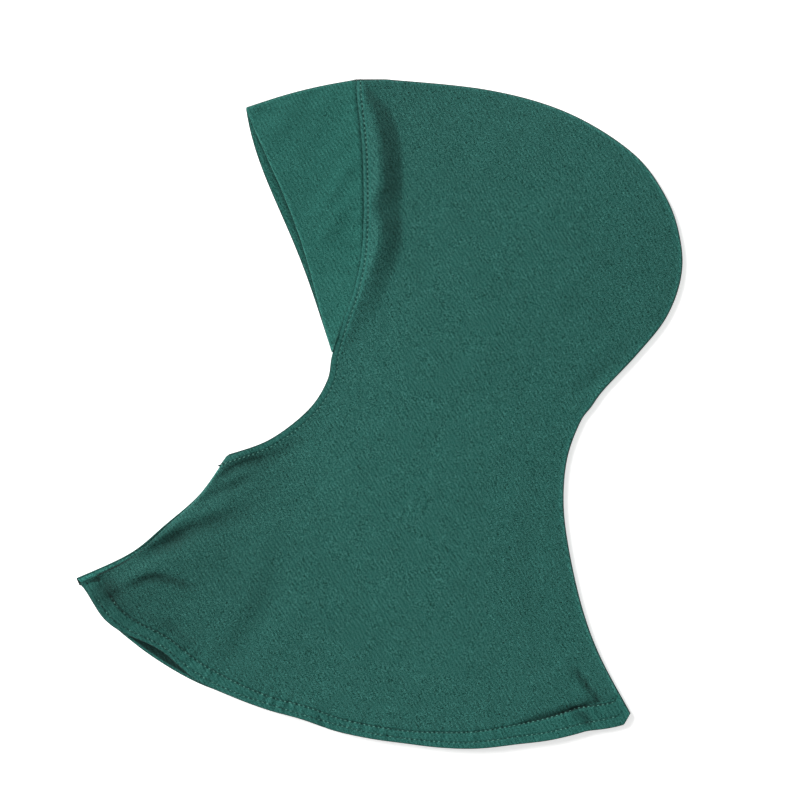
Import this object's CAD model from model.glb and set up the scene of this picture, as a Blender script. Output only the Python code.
"""Underscarf cap of fine jersey, folded along its middle and lying on its right side.

+X points from the face to the back of the head, +Y from the hem to the crown, and +Z up from the table.
The side panels, the brow band and both hems are walls of cloth over one height map, and rows of stitches
follow the seams. The tables are in millimetres and in shares, and everything else is in metres.
"""

import math

import bpy
import numpy as np
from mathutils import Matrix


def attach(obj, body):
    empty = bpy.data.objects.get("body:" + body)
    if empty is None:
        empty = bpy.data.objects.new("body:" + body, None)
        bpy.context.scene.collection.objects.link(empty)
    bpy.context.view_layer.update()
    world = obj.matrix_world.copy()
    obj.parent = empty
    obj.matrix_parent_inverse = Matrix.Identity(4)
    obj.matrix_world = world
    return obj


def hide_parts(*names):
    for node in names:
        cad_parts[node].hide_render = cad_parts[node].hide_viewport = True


bl_info = {
    "name": "Underscarf cap",
    "version": (1, 0, 0),
    "blender": (4, 5, 0),
    "location": "View3D > Sidebar > Underscarf cap",
    "description": "Builds a jersey underscarf cap that lies folded flat on its side",
    "category": "Add Mesh",
}

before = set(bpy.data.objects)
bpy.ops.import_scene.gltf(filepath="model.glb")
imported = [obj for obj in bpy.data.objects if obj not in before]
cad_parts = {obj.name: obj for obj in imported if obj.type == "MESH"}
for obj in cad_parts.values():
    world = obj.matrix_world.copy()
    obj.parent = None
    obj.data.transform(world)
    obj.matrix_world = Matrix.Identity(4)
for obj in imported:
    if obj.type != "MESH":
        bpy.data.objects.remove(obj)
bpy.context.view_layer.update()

MM = 0.001
NECK = np.array([33.23, -38.39]) * MM  # the throat's middle, which the tables measure from

# Front and back edge of the cap at each section, the share of the hem's sag and the share of the loft
SECTIONS = [
    # name, front x, front y, back x, back y, sag, loft
    ("hem", -239.4, -74.2, 137.4, -166.0, 1.0, 0.52),
    ("bib_low", -203.1, -57.4, 116.9, -127.8, 0.72, 0.75),
    ("bib_mid", -179.1, -38.0, 104.8, -95.3, 0.48, 0.9),
    ("bib_high", -155.0, -16.6, 95.8, -56.5, 0.28, 0.95),
    ("chin", -136.7, 9.7, 91.8, -23.7, 0.14, 0.9),
    ("throat", -107.9, 20.1, 94.2, 6.9, 0.06, 0.85),
    ("jaw", -81.8, 40.0, 102.9, 31.4, 0.02, 0.85),
    ("jaw_high", -68.8, 59.9, 110.7, 42.3, 0.01, 0.87),
    ("cheek", -65.2, 78.0, 119.5, 54.2, 0.0, 0.9),
    ("ear_low", -57.1, 101.3, 141.8, 77.9, 0.0, 0.95),
    ("ear", -50.3, 121.0, 161.3, 102.5, 0.0, 1.0),
    ("ear_high", -45.6, 144.2, 171.3, 129.0, 0.0, 1.0),
    ("temple_low", -44.2, 166.6, 171.3, 154.3, 0.0, 1.0),
    ("temple", -44.2, 190.3, 161.9, 183.6, 0.0, 1.0),
    ("brow_low", -44.9, 214.3, 139.1, 214.3, 0.0, 1.0),
    ("brow", -47.0, 236.7, 95.0, 241.8, 0.0, 1.0),
    ("crown_front", -48.6, 251.0, 41.0, 257.4, 0.0, 1.0),
    ("seam_top", -49.3, 264.5, -28.6, 264.7, 0.0, 1.0),
]
SECTION_NAMES = [row[0] for row in SECTIONS]
EDGES = np.array([row[1:] for row in SECTIONS])
FRONT = EDGES[:, 0:2] * MM
BACK = EDGES[:, 2:4] * MM
SAG_SHARE, LOFT_SHARE = EDGES[:, 4:6].T
CHIN = SECTION_NAMES.index("chin")
CHEEK = SECTION_NAMES.index("cheek")
TOP = len(SECTIONS) - 1

# Along the bottom hem, at even steps from the front corner to the back one: share of the sag, depth of the
# hem, and depth of its lower row of stitches
HEM_TABLE = np.array(
    [
        # share of sag, hem depth, lower row
        (0.0, 16.1, 6.5),
        (0.36, 17.4, 6.4),
        (0.589, 16.2, 5.6),
        (0.756, 14.6, 5.2),
        (0.87, 16.0, 6.0),
        (0.921, 14.2, 5.0),
        (0.944, 13.2, 5.6),
        (0.957, 13.5, 4.7),
        (1.0, 13.1, 6.1),
        (0.993, 13.0, 5.3),
        (0.954, 12.9, 4.9),
        (0.905, 14.7, 5.7),
        (0.817, 16.1, 6.4),
        (0.669, 17.6, 7.2),
        (0.512, 19.6, 7.8),
        (0.29, 21.4, 8.4),
        (0.0, 21.4, 9.8),
    ]
)
HEM_SAG, HEM_DEPTH, LOWER_ROW = HEM_TABLE.T
HEM_ROWS = ("hem_upper", "hem_lower")
UPPER_ROW = 2.1 * MM  # the upper row of the bottom hem, below the hem's top edge
HEM_LEVEL = (0.04, 0.14, 0.27, 0.4)  # shares across where the upper hem comes level with the lower one
HEM_STITCHED = (0.035, 0.988)  # shares across between which the bottom hem is stitched
FACE_ROW = (4.9 * MM, 3.2 * MM)  # row of stitches inside the face edge, below the band and along it

# Beside the front seam, by section from the hem: share of the inset that shows the lower layer, how flat it
# lies, the share of the seam's light, and the tone of the upper layer's own edge
SEAM_EDGE = np.array(
    [
        # section, peek, pressed, light, tone
        (0.0, 1.0, 1.0, 1.0, 0.4),
        (0.4, 1.0, 1.0, 1.0, 0.4),
        (0.8, 0.85, 0.9, 0.8, 0.4),
        (1.3, 0.62, 0.8, 0.6, 0.35),
        (1.8, 0.42, 0.7, 0.5, 0.2),
        (2.4, 0.26, 0.6, 0.5, -0.1),
        (3.0, 0.12, 0.5, 0.7, -0.25),
        (3.4, 0.0, 0.5, 0.8, -0.5),
        (3.9, 0.0, 0.4, 0.5, -0.6),
        (4.1, 0.0, 0.4, 0.3, -0.1),
        (4.6, 0.0, 0.0, 0.0, 0.0),
    ]
)
SEAM_SECTIONS, SEAM_PEEK, SEAM_PRESSED, SEAM_LIGHT, SEAM_TONE = SEAM_EDGE.T

# Folds in the upper layer. Each runs through three points, with a half width on its left and on its right.
# A rise below 0 is a valley, a lip rises on its left, and the shade is how much darker its floor is.
FOLDS = [
    # name, start x, y, middle x, y, end x, y, left width, right width, rise, lip, shade
    ("under_chin", -140.0, -5.0, -129.0, 2.5, -112.0, 7.5, 2.4, 4.4, -1.7, 0.4, 0.24),
    ("chin_valley", -122.0, 2.5, -104.0, 8.5, -88.0, 17.0, 4.5, 7.0, -1.5, 0.2, 0.15),
    ("chin_crease", -150.0, -20.0, -136.0, -13.5, -118.0, -5.0, 3.2, 5.0, -1.4, 0.5, 0.14),
    ("seam_crease_low", -188.0, -56.5, -177.0, -51.0, -164.0, -43.0, 4.0, 5.0, -2.2, 0.6, 0.22),
    ("seam_crease_high", -181.0, -52.0, -160.5, -41.5, -127.2, -29.9, 4.8, 7.6, -2.4, 0.5, 0.26),
    ("seam_roll", -212.0, -67.0, -176.0, -36.0, -146.0, -4.0, 3.5, 4.5, 0.8, 0.0, 0.0),
    ("corner_arch", -200.0, -78.0, -184.0, -73.4, -161.0, -80.0, 2.3, 3.2, -2.0, 0.4, 0.36),
    ("corner_dent", -222.0, -76.0, -216.5, -82.0, -209.0, -90.0, 7.0, 8.0, -1.4, 0.1, 0.38),
    ("bib_valley", -139.0, -133.0, -115.0, -97.0, -97.0, -53.0, 6.5, 12.0, -1.0, 0.4, 0.04),
    ("corner_roll", -205.0, -93.0, -186.0, -98.0, -168.0, -106.0, 7.0, 5.0, 0.5, 0.0, 0.0),
    ("hem_valley", -183.6, -102.7, -170.0, -110.2, -155.0, -123.1, 3.0, 4.6, -1.1, 0.3, 0.15),
    ("nape_valley", 98.0, 50.0, 110.0, 58.0, 127.0, 75.0, 5.0, 7.0, -0.7, 0.2, 0.03),
    ("back_valley", 74.0, -96.0, 69.0, -55.0, 73.0, -14.0, 6.0, 9.0, -0.5, 0.1, 0.02),
    ("hem_crease_side", 99.5, -136.0, 107.5, -146.0, 115.5, -157.5, 1.5, 1.9, -1.6, 0.3, 0.68),
    ("hem_crease_low", 64.0, -171.8, 94.0, -163.6, 120.0, -156.0, 2.0, 1.4, -1.8, 0.1, 0.48),
    ("hem_dent_back", 100.5, -164.0, 106.5, -168.0, 110.5, -174.0, 2.6, 3.4, -1.0, 0.1, 0.42),
    ("hem_nick", -74.0, -166.0, -71.5, -171.0, -69.0, -176.0, 1.4, 1.6, -0.9, 0.4, 0.12),
    ("band_roll_high", -69.0, 178.0, -58.0, 199.0, -49.0, 213.0, 5.0, 6.0, 0.8, 0.0, 0.0),
    ("band_roll_low", -75.0, 152.0, -63.0, 169.0, -48.0, 190.0, 5.0, 7.0, 1.0, 0.0, 0.0),
    ("band_roll_front", -110.0, 222.0, -96.0, 234.0, -80.0, 245.0, 9.0, 9.0, 0.7, 0.0, 0.0),
    ("ear_dent_front", 56.0, 119.0, 57.0, 126.0, 57.0, 133.0, 3.0, 3.0, -0.4, 0.1, 0.03),
    ("ear_dent_back", 66.0, 113.0, 67.0, 119.0, 67.0, 126.0, 3.0, 3.0, -0.4, 0.1, 0.03),
]

# The ridge behind the band's seam, at every half section from the cheek to the crown: how far its crest and
# its end lie behind the seam, and the share of its height and of its shade. It is pinched in once, above its
# middle.
RIDGE = np.array(
    [
        # crest, end, height, shade
        (3.0, 9.0, 0.0, 0.0),
        (4.0, 13.0, 0.12, 0.0),
        (5.0, 17.0, 0.25, 0.03),
        (5.8, 20.0, 0.38, 0.08),
        (6.8, 22.0, 0.52, 0.18),
        (8.0, 24.0, 0.72, 0.34),
        (9.5, 26.0, 0.92, 0.58),
        (11.0, 27.5, 1.0, 0.82),
        (10.5, 27.5, 1.0, 1.0),
        (6.2, 26.5, 0.8, 0.85),
        (10.8, 27.5, 1.0, 1.0),
        (11.3, 27.5, 1.0, 1.0),
        (11.2, 27.5, 1.0, 1.0),
        (10.8, 26.5, 0.98, 1.0),
        (9.5, 24.5, 0.9, 0.85),
        (8.0, 21.0, 0.8, 0.7),
        (6.0, 15.0, 0.6, 0.45),
        (4.0, 9.0, 0.35, 0.2),
        (3.0, 6.0, 0.0, 0.0),
    ]
)

# Places where the jersey looks deeper in tone, as round the creased front of the bib, or paler below 0
DEEP_TONES = [
    # name, x, y, reach along x, reach along y, share
    ("bib_front", -176.0, -72.0, 70.0, 52.0, 0.21),
    ("bib_corner", -212.0, -82.0, 26.0, 24.0, 0.13),
    ("chin", -130.0, -4.0, 42.0, 38.0, 0.2),
    ("band_pale", -54.0, 188.0, 9.0, 24.0, -0.15),
    ("band_low", -85.0, 140.0, 22.0, 34.0, 0.05),
    ("hood", 40.0, 225.0, 120.0, 60.0, 0.04),
    ("hem_corner", -228.0, -90.0, 8.0, 12.0, 0.14),
    ("hem_front", -184.0, -117.0, 20.0, 16.0, 0.1),
    ("hem_back", 118.0, -165.0, 22.0, 15.0, 0.08),
    ("band_pale_top", -58.0, 256.0, 12.0, 9.0, -0.1),
    ("hood_front", -30.0, 215.0, 36.0, 85.0, 0.07),
    ("band_top", -95.0, 255.0, 34.0, 18.0, 0.1),
    ("nape", 105.0, 40.0, 45.0, 70.0, -0.06),
    ("neck", 20.0, 40.0, 60.0, 80.0, -0.03),
]


# Sizes, colours and light


def length(name, millimetres, description):
    """A length property, given in millimetres"""
    return bpy.props.FloatProperty(
        name=name, description=description, default=millimetres * MM, unit="LENGTH"
    )


def number(name, value, description):
    """A plain number property"""
    return bpy.props.FloatProperty(name=name, description=description, default=value)


def colour(name, code, description):
    """A colour property, given as an sRGB hex code"""
    return bpy.props.FloatVectorProperty(
        name=name, description=description, default=linear(code), size=3, subtype="COLOR"
    )


def linear(code):
    """Linear red, green and blue of an sRGB hex code"""
    parts = [int(code[i : i + 2], 16) / 255 for i in (1, 3, 5)]
    return tuple(c / 12.92 if c <= 0.04045 else ((c + 0.055) / 1.055) ** 2.4 for c in parts)


class CapShape(bpy.types.PropertyGroup):
    """Sizes of the cap as it lies"""

    cloth: length("Cloth", 1.0, "Thickness of one layer of jersey")
    roll: length("Roll", 2.6, "Outside radius of a folded edge")
    pressed: number("Pressed corner", 0.6, "How much flatter the seam lies where the lower layer shows")
    layer_gap: length("Layer gap", 0.15, "Gap between the two layers where their rolled edges meet")
    join: length("Join", 0.06, "Gap between two pieces that are sewn together")
    joint_shift: length("Joint shift", 1.6, "How much nearer the edge the lower layer's joints lie")
    hem_sag: length("Hem sag", 56.9, "How far the hem hangs below a line from corner to corner")
    hem_lift: length("Hem lift", 6.4, "How far the upper hem is drawn up near its front corner")
    hem_lift_at: number("Hem lift place", 0.17, "Share across where the hem is drawn up most")
    hem_lift_reach: number("Hem lift reach", 0.055, "Share across over which that fades")
    face_hem: length("Face hem", 5.5, "Depth of the turned edge of the face opening")
    seam_inset: length("Seam inset", 3.7, "How far the upper layer stays back from the front corner")
    band_depth: length("Band depth", 74.8, "Brow band from its seam to its front corner")
    band_drop: length("Band drop", 19.0, "Front corner of the band below the crown")
    band_top_bow: length("Band top bow", 2.0, "Rise of the band's top fold above a straight line")
    front_edge_bow: length("Front edge bow", 5.7, "Hollow of the band's front edge")
    far_peek: length("Far peek", 7.4, "How far the lower band shows past the upper one")
    back_drop: length("Back drop", 7.0, "How much lower the hem hangs just beside its back corner")
    loft: length("Loft", 7.0, "Air held under the upper layer")
    loft_run: length("Loft run", 105.0, "Distance from a rolled edge to full height")
    face_loft: number("Face loft", 0.72, "Share of the loft kept at the face opening")
    face_run: length("Face run", 60.0, "Distance from the face opening to full height")
    band_front_loft: number("Band front loft", 0.62, "Share of the band's height kept at its front edge")
    ridge: length("Ridge", 4.6, "Cloth standing up behind the band's seam")
    ridge_crest: length("Ridge crest", 4.6, "Half width of the crest towards the band")
    ridge_rise: length("Ridge rise", 14.0, "Half width of the whole ridge towards the band")
    ridge_shade: number("Ridge shade", 0.28, "How much darker its far slope is")
    ditch: length("Ditch", 0.8, "Depth of the seam line beside the band")
    groove: length("Groove", 0.5, "Depth that a row of stitches pulls the cloth in")
    pucker: length("Pucker", 0.3, "Height of the puckers along the hems")
    covered_shade: number("Covered shade", 0.74, "How dark the lower layer is where the upper one covers it")
    band_covered: number("Band covered", 0.62, "How dark the lower band is where the upper one covers it")
    edge_shade: number("Edge shade", 0.8, "How dark the last bit of an edge is, where it turns under")
    far_light: number("Far light", 0.75, "How much lighter the rolled edge at the back of the head is")
    rim_light: number("Rim light", 0.05, "How much lighter the lower layer's own rim is")
    seam_light: number("Seam light", 0.7, "How much lighter the front seam's edge is than the jersey")
    stitch_shade: number("Stitch shade", 0.62, "How dark the needle holes between the stitches are")
    wrinkle: length("Wrinkle", 0.22, "Height of the soft waves in the cloth")
    stitch_pitch: length("Stitch pitch", 3.3, "Distance from one stitch to the next")
    stitch_length: length("Stitch length", 1.4, "Length of a stitch on the surface")
    thread: length("Thread", 0.46, "Thickness of the sewing thread")


class CapFinish(bpy.types.PropertyGroup):
    """Colours and surface of the cap"""

    panel: colour("Panel", "#265f57", "Jersey of the side panels")
    band: colour("Band", "#245f56", "Jersey of the brow band")
    hem: colour("Hem", "#265f57", "Jersey of the hems")
    thread: colour("Thread", "#61998c", "Sewing thread")
    rib_pitch: length("Rib pitch", 2.5, "Ribs of the knit, twice as coarse as real ones so that they show")
    yarn: length("Yarn", 0.36, "Size of the uneven yarns, coarser than real ones so that they show")
    ribs: number("Ribs", 0.3, "Contrast of the ribs")
    grain: number("Grain", 7.4, "Contrast of the uneven yarns")
    patch: length("Patch", 30.0, "Size of the slow changes of shade")
    patches: number("Patches", 0.1, "Contrast of the slow changes of shade")
    bump: number("Bump", 0.5, "Strength of the knit's relief")
    roughness: number("Roughness", 0.85, "Roughness of the cotton")


class CapStage(bpy.types.PropertyGroup):
    """Table, light and camera"""

    floor: colour("Table", "#f4f4f3", "Plain pale table")
    floor_glow: number("Table glow", 0.55, "Light that the table gives off, as a lit photo table does")
    key: number("Key light", 5.1, "Soft light from the upper left, in watts per square metre")
    fill: number("Fill light", 0.35, "Strength of the light from all round")
    width: length("View width", 544.0, "Width of the table that the camera sees")
    height: length("Camera height", 1700.0, "Camera above the table")
    centre_x: length("View centre X", 13.9, "Where the camera looks")
    centre_y: length("View centre Y", 8.5, "Where the camera looks")


GROUPS = {"cap_shape": CapShape, "cap_finish": CapFinish, "cap_stage": CapStage}


# Curves and places on the cloth


def spline(points, t):
    """Smooth curve through the points, at t counted in points"""
    low = np.clip(np.floor(t).astype(int), 0, len(points) - 2)
    part = np.clip(t, 0, len(points) - 1) - low
    if points.ndim == 2:
        part = part[..., None]
    before, start, end, after = (points[np.clip(low + k, 0, len(points) - 1)] for k in (-1, 0, 1, 2))
    leave, arrive = (end - before) / 2, (after - start) / 2
    return (
        (2 * start - 2 * end + leave + arrive) * part**3
        + (3 * end - 3 * start - 2 * leave - arrive) * part**2
        + leave * part
        + start
    )


def seam_at(v):
    """Front seam, from the hem at 0 to the chin"""
    return spline(FRONT[: CHIN + 1], v)


def face_at(v):
    """Edge of the face opening and then the band's seam, from the chin to the crown"""
    return spline(FRONT[CHIN:], v - CHIN)


def back_at(v):
    """Back of the neck and head, from the hem to the crown"""
    return spline(BACK, v)


def unit(vectors):
    """The vectors at length 1"""
    return vectors / np.maximum(np.linalg.norm(vectors, axis=-1, keepdims=True), 1e-12)


def into_cloth(curve, v):
    """Unit vector at right angles to a front edge, into the cloth"""
    along = unit(curve(v + 0.01) - curve(v - 0.01))
    return np.stack([along[..., 1], -along[..., 0]], -1)


def smoothstep(x, low, high):
    """Smooth ramp from 0 to 1"""
    t = np.clip((x - low) / (high - low), 0, 1)
    return t * t * (3 - 2 * t)


def plateau(x, start, full, fall, end):
    """Smooth rise to 1 from start to full, and back to 0 from fall to end"""
    return smoothstep(x, start, full) * (1 - smoothstep(x, fall, end))


def bell(x):
    """Smooth hump of height 1 and half width about 1"""
    return np.exp(-x * x)


def mix(a, b, t):
    """a to b as t goes from 0 to 1"""
    return a + (b - a) * t


def by_section(values, v):
    """A column of the section table, between two sections too"""
    return np.interp(v, np.arange(len(values)), values)


def beside_seam(values, v):
    """A column of the table beside the front seam, between two of its rows too"""
    return np.interp(v, SEAM_SECTIONS, values)


def along_hem(values, u):
    """A column of the hem table at a share across"""
    return spline(values, u * (len(values) - 1))


SEAM_DIRECTION = unit(seam_at(np.array(CHIN - 0.01)) - seam_at(np.array(float(CHIN))))
FACE_DIRECTION = unit(face_at(np.array(CHIN + 0.01)) - face_at(np.array(float(CHIN))))
CHIN_TURN = abs(FACE_DIRECTION[0] * SEAM_DIRECTION[1] - FACE_DIRECTION[1] * SEAM_DIRECTION[0])


def inside_face(v, depth):
    """A point at a depth inside the face edge, which at the chin and crown stays on the folded edge"""
    depth = np.broadcast_to(depth, v.shape)[..., None]
    straight = face_at(v) + into_cloth(face_at, v) * depth
    on_seam = face_at(v) + SEAM_DIRECTION * depth / CHIN_TURN
    top = np.full_like(v, TOP)
    crown = back_at(top) - face_at(top)
    on_crown = face_at(top) + crown * depth / np.linalg.norm(crown, axis=-1, keepdims=True)
    inside = mix(on_seam, straight, smoothstep(v, CHIN, CHIN + 0.6)[..., None])
    return mix(inside, on_crown, smoothstep(v, TOP - 0.4, TOP)[..., None])


def seam_inset(v, shape):
    """How far the upper layer stays back from the front seam, most at the front corner"""
    return shape.seam_inset * beside_seam(SEAM_PEEK, v)


def layer_seam(v, inset):
    """Front seam of a layer that stays back from it by an inset"""
    below_chin = np.minimum(v, CHIN - 0.02)
    return seam_at(v) + into_cloth(seam_at, below_chin) * inset[..., None]


def roll_at(v, u, shape):
    """Radius of the folded edge, flatter where the lower layer shows beside the front seam"""
    at_front = 1 - smoothstep(u, 0.1, 0.4)
    return shape.roll * (1 - shape.pressed * beside_seam(SEAM_PRESSED, v) * at_front)


def sewn_shift(v, shape, upper):
    """How far the lower layer's seam lies towards the band, so that the two layers' seams don't line up"""
    if upper:
        return np.zeros_like(v)
    return shape.joint_shift * plateau(v, CHEEK + 0.3, CHEEK + 1.3, TOP - 1.0, TOP - 0.1)


def covered(depth, rim, light, shape):
    """Tone of the lower layer at a depth from its edge: light along its rim, dark under the upper layer"""
    return mix(-light, shape.covered_shade, smoothstep(depth, 0.62 * rim, 0.95 * rim))


def seam_rim(depth, v, shape):
    """Tone of the lower layer beside the front seam, at a depth from the seam"""
    shown = np.maximum(seam_inset(v, shape), 0.8 * MM)
    return covered(depth, shown, shape.seam_light * beside_seam(SEAM_LIGHT, v), shape)


def edge_tone(depth, v):
    """Tone of the upper layer's own edge beside the front seam, at a depth from that edge"""
    return beside_seam(SEAM_TONE, v) * bell(depth / (0.9 * MM))


def turned_under(distance, shape):
    """Tone of the last bit of an edge, which turns under the cloth"""
    return shape.edge_shade * (1 - smoothstep(distance, 0.2 * MM, 1.0 * MM))


def face_depth(shape, upper):
    """Depth of the face hem"""
    return shape.face_hem - (0 if upper else shape.joint_shift)


def hem_height(u, shape, upper):
    """Depth of the bottom hem at a share across"""
    return along_hem(HEM_DEPTH, u) * MM - (0 if upper else shape.joint_shift)


def back_drop(u, shape):
    """Extra sag just beside the back corner, which makes that corner blunt"""
    return shape.back_drop * plateau(1 - u, 0, 0.009, 0.01, 0.075)


def panel_front(v, shape, upper):
    """Front edge of a side panel: the front seam, then the inside of the face hem"""
    edge = face_depth(shape, upper) + shape.join
    last = np.linalg.norm(seam_at(np.array(CHIN - 1.0)) - seam_at(np.array(float(CHIN))))
    kept = 1 - edge / CHIN_TURN / last
    low = np.where(v <= CHIN - 1, v, CHIN - 1 + (v - CHIN + 1) * kept)
    seam = layer_seam(np.minimum(low, CHIN - 1 + kept), seam_inset(v, shape) * upper)
    return np.where((v >= CHIN)[..., None], inside_face(np.maximum(v, CHIN), edge), seam)


def panel_plan(v, u, shape, upper):
    """Place on a side panel: v counts sections up from the hem, and u runs from front to back"""
    front, back = panel_front(v, shape, upper), back_at(v)
    down = unit(back - front)
    down = np.stack([down[..., 1], -down[..., 0]], -1)
    at_hem = np.clip(1 - v, 0, 1)
    sag = shape.hem_sag * by_section(SAG_SHARE, v) * along_hem(HEM_SAG, u) + back_drop(u, shape) * at_hem
    if upper:
        # the upper layer starts further in at the front corner; here its hem comes level with the lower one
        level = shape.seam_inset * (1 - u) * plateau(u, *HEM_LEVEL)
        lifted = shape.hem_lift * bell((u - shape.hem_lift_at) / shape.hem_lift_reach)
        sag -= (level + lifted) * at_hem
    return mix(front, back, u[..., None]) + down * sag[..., None]


def hem_reach(u, shape, upper):
    """Distance from the hem to the first section above it"""
    zero = np.zeros_like(u)
    return np.linalg.norm(panel_plan(zero + 1, u, shape, upper) - panel_plan(zero, u, shape, upper), axis=-1)


def band_share(v):
    """Height up the band, from 0 at the cheek to 1 at its top fold"""
    cheek, top = FRONT[CHEEK][1], FRONT[TOP][1]
    return np.clip((face_at(v)[..., 1] - cheek) / (top - cheek), 0, 1)


def shown_past(up, shape):
    """How far the lower band shows past the upper one, at a height up the band"""
    return shape.far_peek * np.sin(math.pi * up**1.65)


def band_plan(v, b, shape, upper):
    """Place on the brow band: b runs from its seam to its front edge"""
    seam = face_at(v) - into_cloth(face_at, v) * (shape.join + sewn_shift(v, shape, upper))[..., None]
    corner = FRONT[TOP] + np.array([-shape.band_depth, -shape.band_drop])
    up = band_share(v)
    edge = mix(FRONT[CHEEK], corner, up[..., None])
    peek = 0 if upper else shown_past(up, shape)
    edge[..., 0] += shape.front_edge_bow * np.sin(math.pi * up) ** 1.6 - peek
    place = mix(seam, edge, b[..., None])
    place[..., 1] += shape.band_top_bow * np.sin(math.pi * b) * up**6
    return place


def folded_edges(shape, upper):
    """Lines where the two layers meet, each with the cloth on its left: crown and back, then front seam"""
    crown = back_at(np.linspace(0, TOP, 24 * TOP))
    across = np.linspace(0, 1, 40)[1:]
    band = band_plan(np.full_like(across, TOP), across, shape, True)
    low = np.linspace(CHIN, 0, 24 * CHIN)
    return [np.vstack([crown, band]), layer_seam(low, seam_inset(low, shape) * upper)]


def nearest_edge(plan, shape, upper):
    """Distance from each place to the nearest folded edge, and the unit vector away from that edge"""
    places = plan.reshape(-1, 2)
    distance = np.full(len(places), np.inf)
    inward = np.zeros_like(places)
    for edge in folded_edges(shape, upper):
        start, span = edge[:-1], np.diff(edge, axis=0)
        for rows in np.array_split(np.arange(len(places)), len(places) // 3000 + 1):
            offset = places[rows, None] - start
            part = np.clip((offset * span).sum(-1) / (span**2).sum(-1), 0, 1)
            away = offset - part[..., None] * span
            far = np.linalg.norm(away, axis=-1)
            best = far.argmin(1)
            pick = np.arange(len(rows))
            closer = far[pick, best] < distance[rows]
            left = unit(np.stack([-span[best, 1], span[best, 0]], -1))
            # right on the edge the way in is the edge's own left
            way_in = np.where((far[pick, best] > 0.3 * MM)[:, None], unit(away[pick, best]), left)
            distance[rows] = np.where(closer, far[pick, best], distance[rows])
            inward[rows] = np.where(closer[:, None], way_in, inward[rows])
    return distance.reshape(plan.shape[:-1]), inward.reshape(plan.shape)


# Heights


def soft_waves(plan, seed, wavelength):
    """Irregular waves about 1 high, the same each time for a seed"""
    dice = np.random.default_rng(seed)
    angles, phases, stretches = (dice.uniform(*span, 9) for span in ((0, math.pi), (0, 6.28), (0.6, 1.8)))
    total = 0
    for angle, phase, stretch in zip(angles, phases, stretches):
        along = plan[..., 0] * math.cos(angle) + plan[..., 1] * math.sin(angle)
        total = total + np.sin(2 * math.pi * along / (wavelength * stretch) + phase)
    return total / 3


def folds_at(plan):
    """Height of the named folds, and how much darker their valleys are"""
    total, shade = np.zeros(plan.shape[:-1]), np.zeros(plan.shape[:-1])
    for _, *ends, left, right, rise, lip, dark in FOLDS:
        points = np.array(ends).reshape(3, 2) * MM
        left, right, rise, lip = (n * MM for n in (left, right, rise, lip))
        line = spline(points, np.linspace(0, 2, 25))
        near = np.all(np.abs(plan - points[1]) < np.ptp(points, axis=0).max() + 4 * (left + right), axis=-1)
        offset = plan[near][:, None] - line
        far = np.linalg.norm(offset, axis=-1)
        best = far.argmin(1)
        pick = np.arange(len(best))
        direction = unit(np.gradient(line, axis=0))[best]
        side = offset[pick, best, 0] * direction[:, 1] - offset[pick, best, 1] * direction[:, 0]
        past = np.sqrt(np.maximum(far[pick, best] ** 2 - side**2, 0))
        along = best / (len(line) - 1)
        fade = np.sqrt(np.clip(np.sin(math.pi * mix(0.04, 0.96, along)), 0, 1)) * bell(past / (left + right))
        across = bell(side / np.where(side > 0, right, left))
        total[near] += fade * (rise * across + lip * bell((side + 2.2 * left) / (1.2 * left)))
        shade[near] += fade * dark * across
    return total, shade


def deep_tone(plan):
    """How much darker the cloth is at the places of deeper tone"""
    total = np.zeros(plan.shape[:-1])
    for _, x, y, reach_x, reach_y, share in DEEP_TONES:
        offset = (plan / MM - [x, y]) / [reach_x, reach_y]
        total += share * bell(np.linalg.norm(offset, axis=-1))
    return total


def ridge_at(v, behind, shape):
    """Height of the ridge and shade of its far slope, at a distance behind the band's seam"""
    crest, end, rise, dark = (spline(values, 2 * (v - CHEEK)) for values in RIDGE.T)
    from_crest = behind - crest * MM
    past = from_crest / ((end - crest) * MM)
    far_slope = 1 - mix(np.clip(past, 0, 1), smoothstep(past, 0, 1), 0.6)
    near_slope = mix(bell(from_crest / shape.ridge_rise), bell(from_crest / shape.ridge_crest), 0.5)
    high = shape.ridge * np.where(past > 0, far_slope, near_slope)
    ditch = shape.ditch * smoothstep(v, CHEEK + 2, CHEEK + 4.5) * bell(behind / (0.8 * MM))
    shade = shape.ridge_shade * plateau(past, 0.08, 0.25, 0.8, 1.05)
    return np.clip(rise, 0, None) * high - ditch, np.clip(dark, 0, 1) * shade


def loft_height(v, behind, shape):
    """Air under a side panel"""
    at_face = smoothstep(v, CHIN, CHIN + 2)
    kept = mix(1, mix(shape.face_loft, 1, smoothstep(behind, 0, shape.face_run)), at_face)
    return shape.loft * by_section(LOFT_SHARE, v) * kept


# Way along a seam that each section counts for in the puckers. It is less than the section's own length, so
# the puckers come out longer.
FACE_WAY = 15.5 * MM
BAND_WAY = 18.0 * MM


def relief(v, u, plan, shape):
    """Upper layer behind the band's seam: its loft, the height of folds, waves and puckers, and its tone"""
    behind = np.where(v > CHIN, np.linalg.norm(plan - face_at(v), axis=-1), shape.face_run)
    near_face = smoothstep(v, CHIN, CHIN + 0.5) * bell((behind - shape.face_hem) / (7 * MM))
    folds, fold_shade = folds_at(plan)
    ridge, ridge_shade = ridge_at(v, behind, shape)
    detail = (
        folds
        + ridge
        + shape.wrinkle * soft_waves(plan, 3, 0.04)
        + 0.7 * shape.pucker * near_face * puckers(v * FACE_WAY, 4.0)
    )
    if u is not None:
        above = v * hem_reach(u, shape, True)
        near_hem = np.where(v < 1.2, bell((above - hem_height(u, shape, True)) / (9 * MM)), 0)
        detail = detail + shape.pucker * near_hem * puckers(u * np.linalg.norm(BACK[0] - FRONT[0]), 1.0)
    return loft_height(v, behind, shape), detail, fold_shade + ridge_shade + deep_tone(plan)


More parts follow.
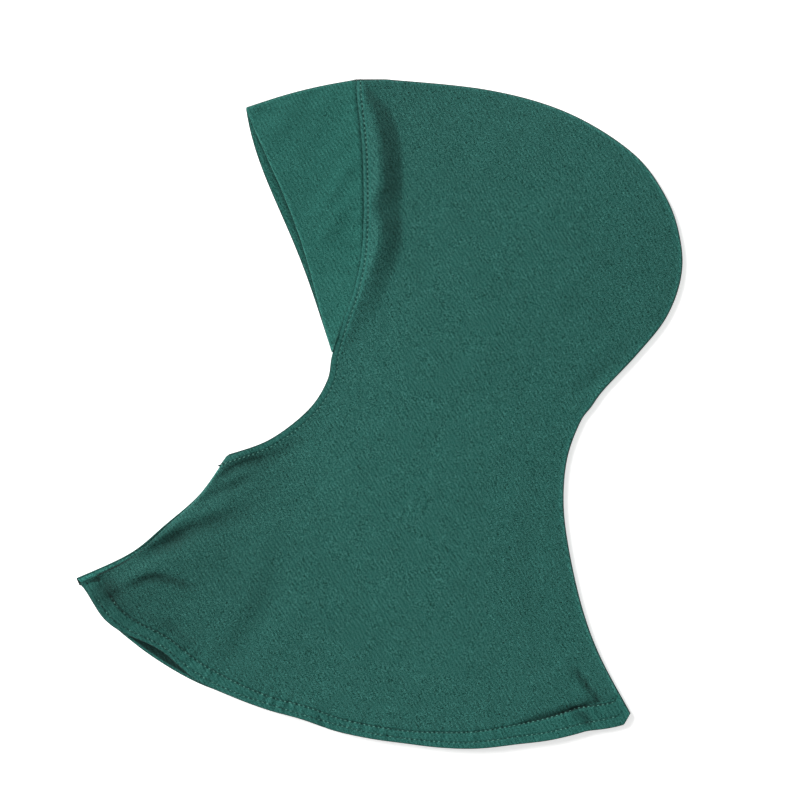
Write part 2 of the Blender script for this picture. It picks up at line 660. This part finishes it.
def puckers(along, seed):
    """Uneven waves about 1 high, one to every 9.5 mm of the way along a seam"""

    def wave(millimetres, phase):
        return np.sin(2 * math.pi * along / (millimetres * MM) + phase)

    sway = 2.2 * wave(53, seed) + 1.3 * wave(21, 2 * seed)
    return wave(9.5, sway) * (0.6 + 0.4 * wave(71, seed))


def edge_toned(shade, distance, inward, shape, upper):
    """The shade, with the folded edge darker where it turns under and lighter round the back of the head"""
    near_edge = bell((distance - 1.4 * MM) / (1.2 * MM)) * smoothstep(distance, 0.3 * MM, 1.1 * MM)
    at_back = np.clip(-inward[..., 0], 0, 1) * near_edge
    # beside the front seam the lower layer is the outline, and the upper one's edge keeps its own tone
    at_outline = 1 - smoothstep(inward[..., 0], 0.3, 0.6) * upper
    return shade + turned_under(distance, shape) * at_outline - shape.far_light * at_back


def cloth_walls(plan, thickness, shape, upper, relief_here, free_edge=None, roll=None):
    """Outer and inner side of the cloth over the places, with the depth of tone as a fourth number

    relief_here holds the loft, the detail and the tone. free_edge is the distance from a folded free edge,
    and roll the radius of the edge where the two layers meet.
    """
    loft, detail, shade = relief_here
    roll = shape.roll if roll is None else roll
    distance, inward = nearest_edge(plan, shape, upper)
    cosine = np.maximum(0, 1 - distance / roll)
    sine = np.sqrt(1 - cosine**2)
    if upper:
        risen = np.sin(math.pi / 2 * np.clip((distance - roll) / shape.loft_run, 0, 1))
        clear = smoothstep(distance, 0.3 * roll, 3 * roll)
        settled = 2 * (shape.roll - roll) * smoothstep(distance, 0.5 * roll, 6 * shape.roll)
        height = roll + shape.layer_gap + roll * sine + settled + loft * risen + detail * clear
    else:
        height = roll * (1 - sine)
    outer = np.concatenate([plan, height[..., None]], -1)
    normal = np.concatenate([-inward * cosine[..., None], (sine if upper else -sine)[..., None]], -1)
    inner = outer - normal * thickness
    if free_edge is not None:
        radius = thickness / 2
        drop = radius - np.sqrt(np.maximum(radius**2 - np.maximum(radius - free_edge, 0) ** 2, 0))
        turn = 0.94 * drop[..., None] * normal
        outer, inner = outer - turn, inner + turn
    tone = edge_toned(shade, distance, inward, shape, upper)
    # the outer side of the lower layer lies on the table, and has no tone of its own
    sides = ((outer, tone if upper else 0 * tone), (inner, tone))
    return tuple(np.concatenate([side + np.append(NECK, 0), own[..., None]], -1) for side, own in sides)


# Meshes

SHARP_ANGLE = math.radians(50)
# Rows run from the front seam at a slant, so this share of the way along one leads away from the seam
ROW_SLANT = 0.8
UPPER_GRID = (196, 72, 132)  # columns of a side panel, its rows below the chin and its rows above it
LOWER_GRID = (60, 30, 56)
# Rows in the last section, closer together towards the crown
CROWN_STEPS = TOP - 1 + np.array(
    [0.12, 0.24, 0.35, 0.45, 0.54, 0.62, 0.69, 0.75, 0.8, 0.84, 0.88, 0.915, 0.945, 0.97, 0.99, 1]
)


def closed_mesh(outer, inner, ring=False):
    """Points, each with its tone, and faces of a closed wall from rows of outer and inner points"""
    points = np.concatenate([outer, inner[:, ::-1]], 1)
    rows, size = points.shape[:2]
    width = outer.shape[1]
    here = np.arange(rows if ring else rows - 1)[:, None] * size
    there = (here + size) % (rows * size)
    k = np.arange(size)
    beside = (k + 1) % size
    faces = [np.stack([here + k, here + beside, there + beside, there + k], -1).reshape(-1, 4)]
    if not ring:
        j = np.arange(width - 1)
        across = size - 1 - j
        end = (rows - 1) * size
        faces.append(np.stack([j, across, across - 1, j + 1], -1))
        faces.append(np.stack([end + j, end + j + 1, end + across - 1, end + across], -1))
    flat, faces = points.reshape(-1, 4), np.concatenate(faces)
    a, b, c, d = (flat[faces[:, i], :3] for i in range(4))
    volume = (a * np.cross(b, c)).sum() + (a * np.cross(c, d)).sum()
    return flat, faces if volume > 0 else faces[:, ::-1]


def linked(name, data):
    """A new object at the origin, in the scene"""
    made = bpy.data.objects.new(name, data)
    bpy.context.scene.collection.objects.link(made)
    return made


def mesh_object(name, points, faces, material):
    """A smooth mesh object at the origin"""
    mesh = bpy.data.meshes.new(name)
    mesh.from_pydata(points[:, :3].tolist(), [], faces.tolist())
    mesh.attributes.new("tone", "FLOAT", "POINT").data.foreach_set("value", points[:, 3].astype(np.float32))
    mesh.shade_smooth()
    mesh.set_sharp_from_angle(angle=SHARP_ANGLE)
    mesh.materials.append(material)
    return linked(name, mesh)


def steps_across(width, inner_shares, shape):
    """Shares across a panel row: fine steps round both rolled edges, and the given shares between"""
    turn = np.radians([0, 12, 24, 36, 48, 60, 75, 90])
    roll = shape.roll * (1 - np.cos(turn)) / width
    middle = mix(roll[-1], 1 - roll[-1], inner_shares)
    return np.concatenate([roll, middle, 1 - roll[::-1]])


def panel_grid(shape, upper, columns, bib_rows, face_rows):
    """Section and share of each point of a side panel, above its bottom hem"""
    low = np.linspace(0, CHIN, bib_rows, endpoint=False)[1:]
    rows = np.concatenate([[0], low, np.linspace(CHIN, TOP - 1, face_rows), CROWN_STEPS])
    inner = np.linspace(0, 1, columns + 2)[1:-1]
    inner = 0.35 * inner**2 + 0.65 * inner
    if not upper:
        inner = np.concatenate([np.linspace(0, inner[1], 12)[1:-1], inner[1:]])
    v, u = [], []
    for row in rows:
        ends = panel_plan(np.array([row, row]), np.array([0.0, 1.0]), shape, upper)
        across = steps_across(np.linalg.norm(ends[1] - ends[0]), inner, shape)
        start = (hem_height(across, shape, upper) + shape.join) / hem_reach(across, shape, upper)
        # below the chin the rows are squeezed up to leave the hem its place
        v.append(start + (1 - start / CHIN) * row if row < CHIN else np.full_like(across, row))
        u.append(across)
    return np.array(v), np.array(u)


def side_panel(name, shape, upper, material):
    """One side of the hood, neck and bib"""
    v, u = panel_grid(shape, upper, *(UPPER_GRID if upper else LOWER_GRID))
    plan = panel_plan(v, u, shape, upper)
    from_front = ROW_SLANT * np.linalg.norm(plan - plan[:, :1], axis=-1)
    heights = (0.0, 0.0, seam_rim(from_front, v, shape))
    if upper:
        loft, detail, shade = relief(v, u, plan, shape)
        heights = (loft, detail, shade + edge_tone(from_front, v))
    outer, inner = cloth_walls(plan, shape.cloth, shape, upper, heights, roll=roll_at(v, u, shape))
    return mesh_object(name, *closed_mesh(outer, inner), material)


def brow_band(name, shape, material):
    """Doubled crescent over the top of the head: up the upper layer, over the fold and down the lower one"""
    sides = []
    for upper, row_count in ((True, 140), (False, 80)):
        rows = np.concatenate([np.linspace(CHEEK + 0.07, TOP - 1, row_count), CROWN_STEPS])
        across = np.sin(np.linspace(0, math.pi / 2, 72))
        v, b = np.meshgrid(rows, across, indexing="ij")
        plan = band_plan(v, b, shape, upper)
        to_seam = np.linalg.norm(plan - face_at(v), axis=-1)
        width = np.linalg.norm(plan[:, -1] - plan[:, 0], axis=-1)[:, None]
        from_edge = (1 - b) * width
        shown = np.maximum(shown_past(band_share(v), shape), 2 * MM)
        rim = mix(-shape.rim_light, shape.band_covered, smoothstep(from_edge, 0.35 * shown, 1.1 * shown))
        heights = (0.0, 0.0, rim + turned_under(from_edge, shape))
        if upper:
            loft = shape.loft * shape.face_loft * mix(1, shape.band_front_loft, b)
            folds, shade = folds_at(plan)
            detail = (
                folds
                + ridge_at(v, -to_seam, shape)[0]
                + 1.3 * shape.wrinkle * soft_waves(plan, 8, 0.026)
                + shape.pucker * bell(to_seam / (9 * MM)) * puckers(v * BAND_WAY, 2.0)
            )
            # beside its seam the band lies in shade, most where the seam is the light edge of the hem
            beside = 0.3 * bell(to_seam / (mix(1.8, 0.6, smoothstep(v, CHEEK + 1, CHEEK + 4)) * MM))
            front_light = 0.18 * bell((from_edge - 0.6 * MM) / (1.1 * MM))
            heights = (loft, detail, shade + beside - front_light)
        sides.append(cloth_walls(plan, 2 * shape.cloth, shape, upper, heights, (1 - b) * width))
    return mesh_object(name, *closed_mesh(*joined(sides)), material)


def joined(sides):
    """Rows of the upper layer, then those of the lower one back again, for the outer and the inner side"""
    (up_out, up_in), (low_out, low_in) = sides
    return np.concatenate([up_out, low_out[::-1]]), np.concatenate([up_in, low_in[::-1]])


def hem_place(u, depth, shape, upper):
    """Section and place of a point on the bottom hem, at a depth from its fold"""
    v = depth / hem_reach(u, shape, upper)
    return v, panel_plan(v, u, shape, upper)


def folded_depths(depth, count, thickness):
    """Depths across a turned hem, finer round its fold"""
    fold = thickness * np.array([0, 0.05, 0.16, 0.3])
    return np.concatenate([fold, np.linspace(0.5 * thickness, depth, count)])


def bottom_hem(name, shape, material):
    """Ring of doubled cloth round the bottom, with the stitches' dents"""
    chord = np.linalg.norm(BACK[0] - FRONT[0])
    sides = []
    for upper, count in ((True, 1050), (False, 160)):
        across = steps_across(chord, np.linspace(0, 1, count + 2)[1:-1], shape)
        deep = hem_height(across, shape, upper)
        depth = np.array([folded_depths(here, 30, 2 * shape.cloth) for here in deep])
        u = np.broadcast_to(across[:, None], depth.shape)
        v, plan = hem_place(u, depth, shape, upper)
        from_front = ROW_SLANT * np.linalg.norm(plan - plan[:1], axis=-1)
        under = covered(depth, 3.6 * MM, shape.rim_light, shape)
        beside = seam_rim(from_front, v, shape)
        rims = np.where(from_front < seam_inset(v, shape), np.minimum(under, beside), under)
        heights = (0.0, 0.0, rims + turned_under(depth, shape))
        if upper:
            loft, detail, shade = relief(v, u, plan, shape)
            twist = puckers(u * chord + 0.3 * depth, 6.0) * bell((depth - 6 * MM) / (5 * MM))
            detail = detail + 0.6 * shape.pucker * twist
            for row in HEM_ROWS:
                sunk, dark = dents(u, depth, row, shape)
                detail, shade = detail - sunk, shade + dark
            # the lip below the lower row turns to the light
            lip = 0.05 * smoothstep(row_depth("hem_lower", u) - depth, 1.2 * MM, 3.5 * MM)
            heights = (loft, detail, shade - lip + edge_tone(from_front, v) + turned_under(depth, shape))
        roll = roll_at(v, u, shape)
        sides.append(cloth_walls(plan, 2 * shape.cloth, shape, upper, heights, depth, roll))
    return mesh_object(name, *closed_mesh(*joined(sides), ring=True), material)


def face_hem(name, shape, material):
    """Doubled cloth round the face opening, from the chin to the crown and back on the lower layer"""
    span = np.linalg.norm(FRONT[CHIN + 1] - FRONT[CHIN])
    turn = np.radians([0, 15, 30, 45, 60, 75, 90])
    roll = CHIN + shape.roll * (1 - np.cos(turn)) / span
    sides = []
    for upper, count in ((True, 1000), (False, 120)):
        rows = np.concatenate([roll, np.linspace(roll[-1], TOP - 1, count)[1:], CROWN_STEPS])
        depths = folded_depths(face_depth(shape, upper), 15, 2 * shape.cloth)
        v, depth = np.meshgrid(rows, depths, indexing="ij")
        shift = sewn_shift(v, shape, upper)
        plan = inside_face(v, depth - shift * (1 - depth / depths[-1]))
        # where the band is sewn on, the edge is a seam and not a fold
        free = np.where(v < CHEEK, depth, 1.0)
        heights = (0.0, 0.0, 0.0)
        if upper:
            loft, detail, shade = relief(v, None, plan, shape)
            sunk, dark = dents(v, depth, "face", shape)
            # the seam is a dark line at the crown, and turns into the light edge of the hem further down
            sewn = smoothstep(v, CHEEK + 2, CHEEK + 4.5)
            seam_line = mix(-0.4, 0.4, sewn) * smoothstep(v, CHEEK - 0.6, CHEEK) * bell(depth / (0.7 * MM))
            heights = (loft, detail - sunk, shade + dark + seam_line + turned_under(free, shape))
        sides.append(cloth_walls(plan, 2 * shape.cloth, shape, upper, heights, free, roll_at(v, 0.0, shape)))
    return mesh_object(name, *closed_mesh(*joined(sides), ring=True), material)


# Stitches

LINE_POINTS = 1600  # along a row of stitches


def row_depth(name, t):
    """Depth of a row of stitches from the folded edge, at a share across the hem or a section up the face"""
    if name == "hem_upper":
        return along_hem(HEM_DEPTH, t) * MM - UPPER_ROW
    if name == "hem_lower":
        return along_hem(LOWER_ROW, t) * MM
    return mix(*FACE_ROW, smoothstep(t, CHEEK - 0.6, CHEEK + 1.2))


def stitch_line(name, shape):
    """A row of stitches: the share or section along it, its places, and the stitches counted up to each"""
    if name in HEM_ROWS:
        t = np.linspace(*HEM_STITCHED, LINE_POINTS)
        v, plan = hem_place(t, row_depth(name, t), shape, True)
        loft, detail, _ = relief(v, t, plan, shape)
    else:
        t = np.linspace(CHIN + 0.06, TOP - 0.01, LINE_POINTS)
        plan = inside_face(t, row_depth(name, t))
        loft, detail, _ = relief(t, None, plan, shape)
    heights = (loft, detail - 0.7 * shape.groove, 0.0)
    places = cloth_walls(plan, shape.cloth, shape, True, heights)[0][:, :3]
    walked = np.append(0, np.cumsum(np.linalg.norm(np.diff(places, axis=0), axis=1)))
    count = int(walked[-1] / shape.stitch_pitch)
    return t, places, walked / walked[-1] * count


def dents(t, depth, name, shape):
    """How deep a row of stitches sinks into the cloth, and how dark the needle holes between them are"""
    samples, _, counted = stitch_line(name, shape)
    hole = 0.5 - 0.5 * np.cos(2 * math.pi * np.interp(t, samples, counted))
    off_row = depth - row_depth(name, t)
    sunk = shape.groove * mix(0.5, 1, hole) * bell(off_row / (0.8 * MM))
    dark = mix(0.35, 1, hole**2) * bell(off_row / (0.55 * MM))
    if name == "hem_upper":
        # the hem's edge under the cloth draws a thin line above this row
        dark = np.maximum(1.15 * dark, 0.75 * bell((off_row - 0.8 * MM) / (0.45 * MM)))
    if name in HEM_ROWS:
        # at the front corner both rows run out under the folded cloth
        dark = dark * smoothstep(t, 0.02, 0.05)
    else:
        dark = dark * mix(0.8, 1.3, smoothstep(t, CHEEK + 2, CHEEK + 5))
    return sunk, shape.stitch_shade * dark


def add_node(tree, kind, inputs=None, **settings):
    """A node with its settings, and its inputs by name or number: a value, or another node's socket"""
    node = tree.nodes.new(kind)
    for name, value in settings.items():
        setattr(node, name, value)
    for key, value in (inputs or {}).items():
        if isinstance(value, bpy.types.NodeSocket):
            tree.links.new(value, node.inputs[key])
        else:
            node.inputs[key].default_value = value
    return node


def stitch_tree():
    """Geometry nodes that lay one short stitch after another along a line"""
    tree = bpy.data.node_groups.new("Stitches along a line", "GeometryNodeTree")
    tree.is_modifier = True
    for name, kind in (
        ("Line", "NodeSocketGeometry"),
        ("Count", "NodeSocketInt"),
        ("Length", "NodeSocketFloat"),
        ("Thread", "NodeSocketFloat"),
        ("Seed", "NodeSocketInt"),
        ("Material", "NodeSocketMaterial"),
    ):
        tree.interface.new_socket(name, in_out="INPUT", socket_type=kind)
    tree.interface.new_socket("Stitches", in_out="OUTPUT", socket_type="NodeSocketGeometry")
    asked = add_node(tree, "NodeGroupInput").outputs
    curve = add_node(tree, "GeometryNodeMeshToCurve", {"Mesh": asked["Line"]})
    along = {"Curve": curve.outputs[0], "Count": asked["Count"]}
    points = add_node(tree, "GeometryNodeCurveToPoints", along, mode="COUNT")
    ball = add_node(tree, "GeometryNodeMeshUVSphere", {"Segments": 8, "Rings": 5, "Radius": 0.5})
    sizes = {"X": asked["Length"], "Y": asked["Thread"], "Z": asked["Thread"]}
    size = add_node(tree, "ShaderNodeCombineXYZ", sizes).outputs[0]
    stitch = add_node(tree, "GeometryNodeTransform", {"Geometry": ball.outputs["Mesh"], "Scale": size})
    tangent = points.outputs["Tangent"]
    turn = add_node(tree, "FunctionNodeAlignRotationToVector", {"Vector": tangent}, axis="X")
    unevenness = {"Min": (0.85, 0.8, 0.8), "Max": (1.1, 1.15, 1.15), "Seed": asked["Seed"]}
    vary = add_node(tree, "FunctionNodeRandomValue", unevenness, data_type="FLOAT_VECTOR")
    laid = add_node(
        tree,
        "GeometryNodeInstanceOnPoints",
        {
            "Points": points.outputs["Points"],
            "Instance": stitch.outputs[0],
            "Rotation": turn.outputs[0],
            "Scale": vary.outputs[0],
        },
    )
    real = add_node(tree, "GeometryNodeRealizeInstances", {"Geometry": laid.outputs[0]})
    smooth = add_node(tree, "GeometryNodeSetShadeSmooth", {"Geometry": real.outputs[0]})
    settings = {"Geometry": smooth.outputs[0], "Material": asked["Material"]}
    painted = add_node(tree, "GeometryNodeSetMaterial", settings)
    add_node(tree, "NodeGroupOutput", {0: painted.outputs[0]})
    return tree


def stitched(name, row, tree, seed, shape, material):
    """A row of stitches, as one plain mesh"""
    _, line, counted = stitch_line(row, shape)
    mesh = bpy.data.meshes.new(name)
    mesh.from_pydata(line.tolist(), [(i, i + 1) for i in range(len(line) - 1)], [])
    piece = linked(name, mesh)
    modifier = piece.modifiers.new("Stitches", "NODES")
    modifier.node_group = tree
    values = {
        "Count": round(counted[-1]) + 1,
        "Length": shape.stitch_length,
        "Thread": shape.thread,
        "Seed": seed,
        "Material": material,
    }
    for item in tree.interface.items_tree:
        if item.name in values:
            modifier[item.identifier] = values[item.name]
    evaluated = piece.evaluated_get(bpy.context.evaluated_depsgraph_get())
    made = bpy.data.meshes.new_from_object(evaluated)
    piece.modifiers.clear()
    piece.data = made
    if not made.polygons:
        raise RuntimeError(f"{name} came out with no stitches")
    return piece


# Materials

BLOOM = (2.1, 1.0, 1.05)
DARKEST = 0.15  # share of its colour that the jersey keeps in the darkest fold
DULL = 0.15  # specular level of cotton, thread and matt paper


def jersey(name, base, finish, grain=1.0):
    """Fine cotton jersey, knitted and dyed dark green, with a matt surface

    It shows faint diagonal ribs, uneven yarns, slow changes of shade, and the cloth's own depth of tone.
    """
    material = bpy.data.materials.new(name)
    material.use_nodes = True
    tree = material.node_tree
    tree.nodes.clear()
    place = add_node(tree, "ShaderNodeTexCoord").outputs["Object"]

    def added(total, pattern, contrast):
        """The total plus a pattern about its middle, times its contrast"""
        middle = add_node(tree, "ShaderNodeMath", {0: pattern, 1: 0.5}, operation="SUBTRACT").outputs[0]
        settings = {0: middle, 1: contrast, 2: total}
        return add_node(tree, "ShaderNodeMath", settings, operation="MULTIPLY_ADD").outputs[0]

    knit = 0.0
    for angle, distortion, contrast in ((-29, 6.0, finish.ribs), (-43, 9.0, 0.6 * finish.ribs)):
        settings = {"Vector": place, "Rotation": (0, 0, math.radians(angle))}
        settings = {
            "Vector": add_node(tree, "ShaderNodeMapping", settings).outputs[0],
            "Scale": 2 * math.pi / (20 * finish.rib_pitch),
            "Distortion": distortion,
            "Detail": 3.0,
            "Detail Scale": 1.2,
            "Detail Roughness": 0.7,
        }
        ribs = add_node(tree, "ShaderNodeTexWave", settings).outputs["Fac"]
        knit = added(knit, ribs, contrast)
    settings = {"Vector": place, "Scale": 1 / finish.yarn, "Detail": 1.0, "Roughness": 0.65}
    yarns = add_node(tree, "ShaderNodeTexNoise", settings).outputs["Fac"]
    knit = added(knit, yarns, grain * finish.grain)
    settings = {"Vector": place, "Scale": 1 / finish.patch, "Detail": 2.0, "Roughness": 0.65}
    patches = add_node(tree, "ShaderNodeTexNoise", settings).outputs["Fac"]
    shade = added(knit, patches, finish.patches)
    # the shade goes about 1, and the fibres' pale bloom changes the red more than the green and the blue
    settings = {0: shade, 1: BLOOM, 2: (1, 1, 1)}
    bloom = add_node(tree, "ShaderNodeVectorMath", settings, operation="MULTIPLY_ADD").outputs[0]
    settings = {0: bloom, 1: tuple(base)}
    dyed = add_node(tree, "ShaderNodeVectorMath", settings, operation="MULTIPLY").outputs[0]
    tone = add_node(tree, "ShaderNodeAttribute", attribute_name="tone", attribute_type="GEOMETRY")
    lit = add_node(tree, "ShaderNodeMath", {0: 1.0, 1: tone.outputs["Fac"]}, operation="SUBTRACT").outputs[0]
    lit = add_node(tree, "ShaderNodeMath", {0: lit, 1: DARKEST}, operation="MAXIMUM").outputs[0]
    tint = add_node(tree, "ShaderNodeVectorMath", {0: dyed, 3: lit}, operation="SCALE").outputs[0]
    settings = {"Height": knit, "Strength": finish.bump, "Distance": 0.3 * MM}
    settings = {
        "Base Color": tint,
        "Roughness": finish.roughness,
        "Specular IOR Level": DULL,
        "Sheen Weight": 0.04,
        "Sheen Roughness": 0.45,
        "Normal": add_node(tree, "ShaderNodeBump", settings).outputs[0],
    }
    surface = add_node(tree, "ShaderNodeBsdfPrincipled", settings)
    add_node(tree, "ShaderNodeOutputMaterial", {"Surface": surface.outputs[0]})
    return material


def plain(name, base, roughness, glow=0.0):
    """A dull surface of one colour, with an unevenness of a few parts in a hundred"""
    material = bpy.data.materials.new(name)
    material.use_nodes = True
    tree = material.node_tree
    tree.nodes.clear()
    place = add_node(tree, "ShaderNodeTexCoord").outputs["Object"]
    grain = add_node(tree, "ShaderNodeTexNoise", {"Vector": place, "Scale": 900.0, "Detail": 2.0})
    colours = {"Factor": grain.outputs["Fac"], 6: (*(0.97 * c for c in base), 1), 7: (*base, 1)}
    settings = {
        "Base Color": add_node(tree, "ShaderNodeMix", colours, data_type="RGBA").outputs[2],
        "Roughness": roughness,
        "Specular IOR Level": DULL,
        "Emission Color": (1, 1, 1, 1),
        "Emission Strength": glow,
    }
    surface = add_node(tree, "ShaderNodeBsdfPrincipled", settings)
    add_node(tree, "ShaderNodeOutputMaterial", {"Surface": surface.outputs[0]})
    return material


# Operators

KEY_PLACE = (-4.25, 2.75, 3.15)  # the soft light shines from here to the origin
KEY_SPREAD = math.radians(37)  # how wide it looks, which makes its shadows soft


def given(context):
    """The shape, finish and stage settings"""
    return (getattr(context.scene, name) for name in GROUPS)


def place_piece(piece, slot, *nodes):
    """The piece rides on the cap and stands for its solids"""
    if nodes:
        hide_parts(*nodes)
    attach(piece, "root")
    return piece


class CAP_OT_side_panels(bpy.types.Operator):
    """Add both sides of the hood, neck and bib"""

    bl_idname = "cap.side_panels"
    bl_label = "Side panels"

    def execute(self, context):
        shape, finish, _ = given(context)
        material = jersey("panel_jersey", finish.panel, finish)
        left = side_panel("left_side_cloth", shape, True, material)
        right = side_panel("right_side_cloth", shape, False, material)
        place_piece(left, "panel_jersey", "left_side_panel")
        place_piece(right, "panel_jersey", "right_side_panel")
        return {"FINISHED"}


class CAP_OT_brow_band(bpy.types.Operator):
    """Add the doubled brow band"""

    bl_idname = "cap.brow_band"
    bl_label = "Brow band"

    def execute(self, context):
        shape, finish, _ = given(context)
        material = jersey("band_jersey", finish.band, finish, 0.65)
        place_piece(brow_band("brow_band_cloth", shape, material), "band_jersey", "brow_band")
        return {"FINISHED"}


class CAP_OT_hems(bpy.types.Operator):
    """Add the turned hems of the face opening and of the bottom"""

    bl_idname = "cap.hems"
    bl_label = "Hems"

    def execute(self, context):
        shape, finish, _ = given(context)
        material = jersey("hem_jersey", finish.hem, finish, 0.6)
        place_piece(face_hem("face_hem_cloth", shape, material), "hem_jersey", "face_hem")
        place_piece(bottom_hem("bottom_hem_cloth", shape, material), "hem_jersey", "bottom_hem")
        return {"FINISHED"}


class CAP_OT_stitches(bpy.types.Operator):
    """Add the rows of stitches on the hems and along the band"""

    bl_idname = "cap.stitches"
    bl_label = "Stitches"

    def execute(self, context):
        shape, finish, _ = given(context)
        # spun thread, matt and paler than the jersey, which sets each stitch off
        thread = plain("sewing_thread", finish.thread, 0.7)
        tree = stitch_tree()
        for seed, row in enumerate((*HEM_ROWS, "face")):
            place_piece(stitched(row + "_stitches", row, tree, seed, shape, thread), "hem_jersey")
        return {"FINISHED"}


class CAP_OT_cloth(bpy.types.Operator):
    """State the flat sizes of the cloth that the cap is sewn from"""

    bl_idname = "cap.cloth"
    bl_label = "Cloth"

    def execute(self, context):
        return {"FINISHED"}


class CAP_OT_stage(bpy.types.Operator):
    """Add the table, the light and the camera"""

    bl_idname = "cap.stage"
    bl_label = "Stage"

    def execute(self, context):
        _, _, stage = given(context)
        scene = context.scene
        bpy.ops.mesh.primitive_plane_add(size=8, location=(0, 0, -0.1 * MM))
        table = context.object
        table.name = "table"
        # matt white that gives off some light of its own, which leaves only faint shadows
        table.data.materials.append(plain("pale_table", stage.floor, 0.9, stage.floor_glow))

        lamp = bpy.data.lights.new("key_light", "SUN")
        lamp.energy = stage.key
        lamp.angle = KEY_SPREAD
        key = linked("key_light", lamp)
        key.location = KEY_PLACE
        key.rotation_euler = (-key.location).to_track_quat("-Z", "Y").to_euler()

        world = bpy.data.worlds.new("soft_room")
        world.use_nodes = True
        background = world.node_tree.nodes["Background"].inputs
        background["Color"].default_value = (1, 1, 1, 1)
        background["Strength"].default_value = stage.fill
        scene.world = world

        lens = bpy.data.cameras.new("camera")
        lens.lens = lens.sensor_width * stage.height / stage.width
        camera = linked("camera", lens)
        camera.location = (stage.centre_x, stage.centre_y, stage.height)
        scene.camera = camera
        scene.view_settings.view_transform = "Standard"
        return {"FINISHED"}


STEPS = (CAP_OT_side_panels, CAP_OT_brow_band, CAP_OT_hems, CAP_OT_stitches, CAP_OT_cloth, CAP_OT_stage)


class CAP_PT_sidebar(bpy.types.Panel):
    """Sizes, colours and building steps of the cap"""

    bl_idname = "CAP_PT_sidebar"
    bl_label = "Underscarf cap"
    bl_space_type = "VIEW_3D"
    bl_region_type = "UI"
    bl_category = "Underscarf cap"

    def draw(self, context):
        for name, group in GROUPS.items():
            box = self.layout.box()
            box.label(text=group.__doc__)
            for key in group.__annotations__:
                box.prop(getattr(context.scene, name), key)
        for step in STEPS:
            self.layout.operator(step.bl_idname)


CLASSES = (*GROUPS.values(), *STEPS, CAP_PT_sidebar)


def register():
    """Register the classes, and give the scene their settings"""
    for item in CLASSES:
        bpy.utils.register_class(item)
    for name, group in GROUPS.items():
        setattr(bpy.types.Scene, name, bpy.props.PointerProperty(type=group))


def unregister():
    """Take the settings and the classes away again"""
    for name in GROUPS:
        delattr(bpy.types.Scene, name)
    for item in reversed(CLASSES):
        bpy.utils.unregister_class(item)


def main():
    """Build the cap and its stage, and write what the frame and the finished cap measure"""
    register()
    for step in STEPS:
        namespace, name = step.bl_idname.split(".")
        getattr(getattr(bpy.ops, namespace), name)()


if __name__ == "__main__":
    main()
